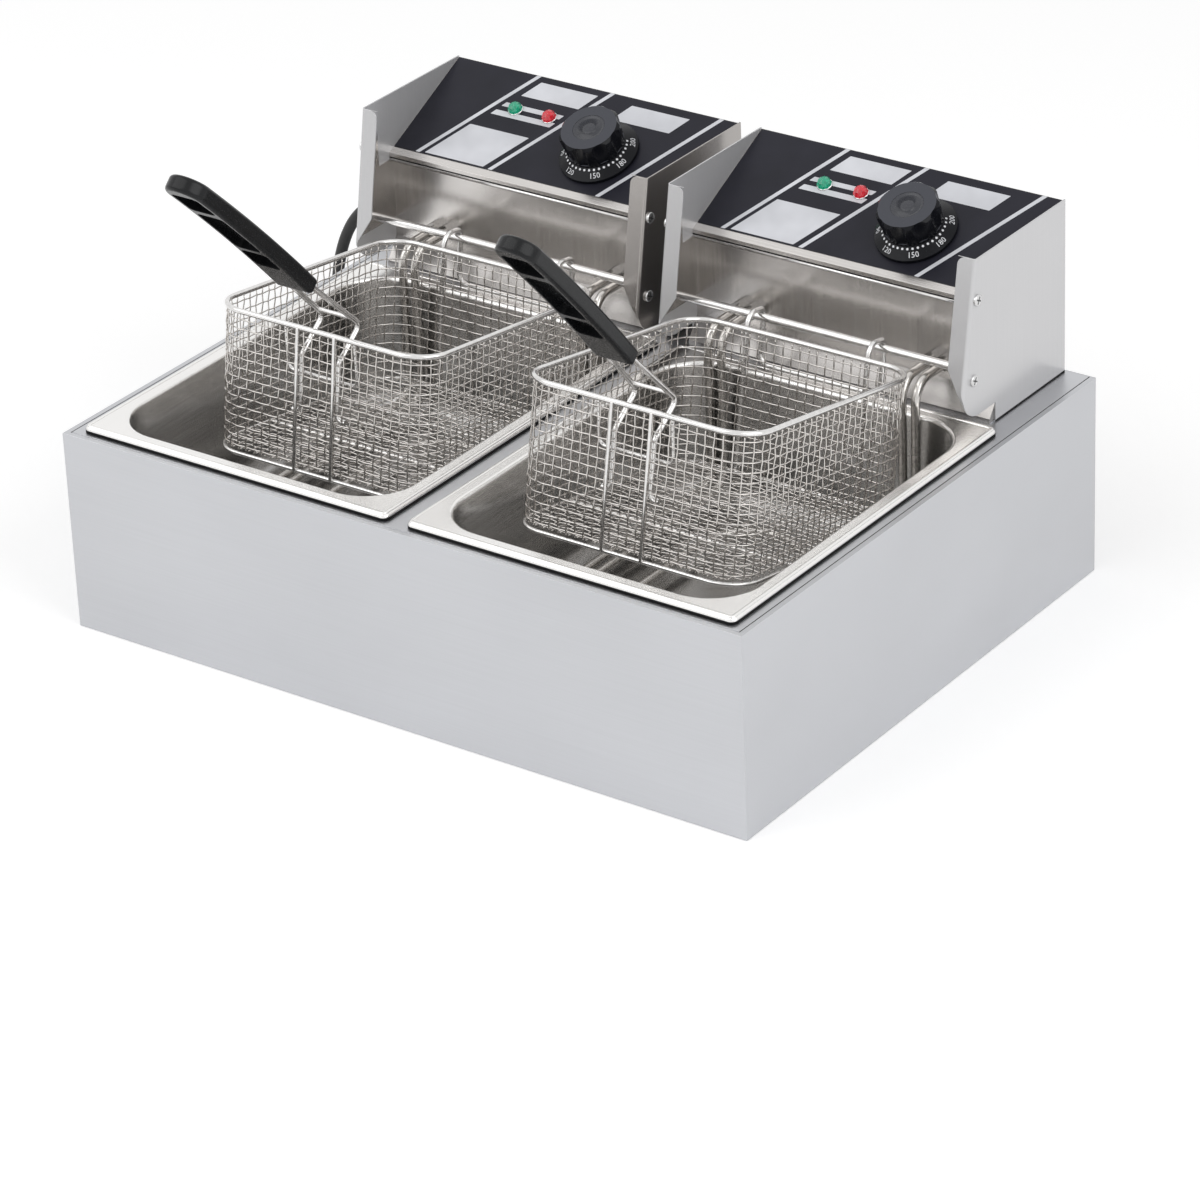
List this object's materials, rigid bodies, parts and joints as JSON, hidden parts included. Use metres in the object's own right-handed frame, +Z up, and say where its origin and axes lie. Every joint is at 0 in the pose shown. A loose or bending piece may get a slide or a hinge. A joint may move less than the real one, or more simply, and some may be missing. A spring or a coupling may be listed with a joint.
{
  "type": "countertop deep fryer",
  "caption": "Countertop electric fryer: low steel cabinet, drop-in oil tanks, lift-off control heads with dials and heating elements, and hanging wire baskets with handles.",
  "frame": {"origin": "centre of the cabinet's underside", "axes": "+X to the right seen from the front, -Y towards the user, +Z up"},
  "size_m": [0.6488, 0.6312, 0.4057],
  "materials": {
    "cabinet_steel": "fine brushed stainless sheet",
    "head_steel": "brushed stainless sheet",
    "tank_steel": "drawn satin stainless",
    "wire_chrome": "bright plated wire",
    "mesh_chrome": "bright plated mesh",
    "element_steel": "satin tube",
    "screw_steel": "plated",
    "overlay_dark": "satin printed film, dark charcoal",
    "knob_black": "gloss",
    "cap_grey": "satin disc",
    "lamp_green": "clear tinted lens",
    "lamp_red": "clear tinted lens",
    "grip_black": "satin moulding",
    "cord_black": "satin jacket",
    "plug_black": "moulded",
    "gland_black": "moulded",
    "tie_black": "strap",
    "thermostat_grey": "moulded",
    "terminal_white": "moulded"
  },
  "bodies": {
    "cabinet": {"cabinet_shell": "cabinet_steel", "base_plate": "cabinet_steel", "rear_panel": "cabinet_steel", "rear_panel_screws": "screw_steel", "power_cord": "cord_black", "cord_coil": "cord_black", "cord_tie": "tie_black", "cord_plug": "plug_black"},
    "left_tank": {"left_tank": "tank_steel"},
    "left_head": {"left_head_left_cheek": "cabinet_steel", "left_head_right_cheek": "cabinet_steel", "left_head_cover": "head_steel", "left_head_baffle": "head_steel", "left_head_floor": "cabinet_steel", "left_panel_overlay": "overlay_dark", "left_hanger_rod": "wire_chrome", "left_heating_element": "element_steel", "left_element_nuts": "screw_steel", "left_thermostat": "thermostat_grey", "left_terminal_block": "terminal_white", "left_green_lamp": "lamp_green", "left_red_lamp": "lamp_red", "left_cheek_screws": "screw_steel", "left_cable_gland": "gland_black"},
    "left_knob": {"left_knob": "knob_black", "left_knob_cap": "cap_grey"},
    "left_basket": {"left_basket_frame": "wire_chrome", "left_basket_mesh": "mesh_chrome", "left_basket_hook": "wire_chrome"},
    "left_handle": {"left_handle_wires": "wire_chrome", "left_handle_grip": "grip_black"},
    "right_tank": {"right_tank": "tank_steel"},
    "right_head": {"right_head_left_cheek": "cabinet_steel", "right_head_right_cheek": "cabinet_steel", "right_head_cover": "head_steel", "right_head_baffle": "head_steel", "right_head_floor": "cabinet_steel", "right_panel_overlay": "overlay_dark", "right_hanger_rod": "wire_chrome", "right_heating_element": "element_steel", "right_element_nuts": "screw_steel", "right_thermostat": "thermostat_grey", "right_terminal_block": "terminal_white", "right_green_lamp": "lamp_green", "right_red_lamp": "lamp_red", "right_cheek_screws": "screw_steel", "right_cable_gland": "gland_black"},
    "right_knob": {"right_knob": "knob_black", "right_knob_cap": "cap_grey"},
    "right_basket": {"right_basket_frame": "wire_chrome", "right_basket_mesh": "mesh_chrome", "right_basket_hook": "wire_chrome"},
    "right_handle": {"right_handle_wires": "wire_chrome", "right_handle_grip": "grip_black"}
  },
  "joints": [
    {"name": "left_tank_lift", "type": "slide", "parent": "cabinet", "child": "left_tank", "axis": [0, 0, 1], "range_m": [0, 0.12], "deforming": ["power_cord"]},
    {"name": "left_head_lift", "type": "slide", "parent": "left_tank", "child": "left_head", "axis": [0, 0, 1], "range_m": [0, 0.16], "deforming": ["power_cord"]},
    {"name": "left_knob_turn", "type": "hinge", "parent": "left_head", "child": "left_knob", "pos_m": [-0.098, 0.16905, 0.25839], "axis": [0, -0.4384, 0.8988], "range_deg": [-280, 0]},
    {"name": "left_basket_lift", "type": "slide", "parent": "left_head", "child": "left_basket", "axis": [0, 0.1392, 0.9903], "range_m": [0, 0.15]},
    {"name": "left_handle_lift", "type": "slide", "parent": "left_basket", "child": "left_handle", "axis": [0, 0.1392, 0.9903], "range_m": [0, 0.07]},
    {"name": "right_tank_lift", "type": "slide", "parent": "cabinet", "child": "right_tank", "axis": [0, 0, 1], "range_m": [0, 0.12]},
    {"name": "right_head_lift", "type": "slide", "parent": "right_tank", "child": "right_head", "axis": [0, 0, 1], "range_m": [0, 0.16]},
    {"name": "right_knob_turn", "type": "hinge", "parent": "right_head", "child": "right_knob", "pos_m": [0.172, 0.16905, 0.25839], "axis": [0, -0.4384, 0.8988], "range_deg": [-280, 0]},
    {"name": "right_basket_lift", "type": "slide", "parent": "right_head", "child": "right_basket", "axis": [0, 0.1788, 0.9839], "range_m": [0, 0.15]},
    {"name": "right_handle_lift", "type": "slide", "parent": "right_basket", "child": "right_handle", "axis": [0, 0.1788, 0.9839], "range_m": [0, 0.07]}
  ]
}
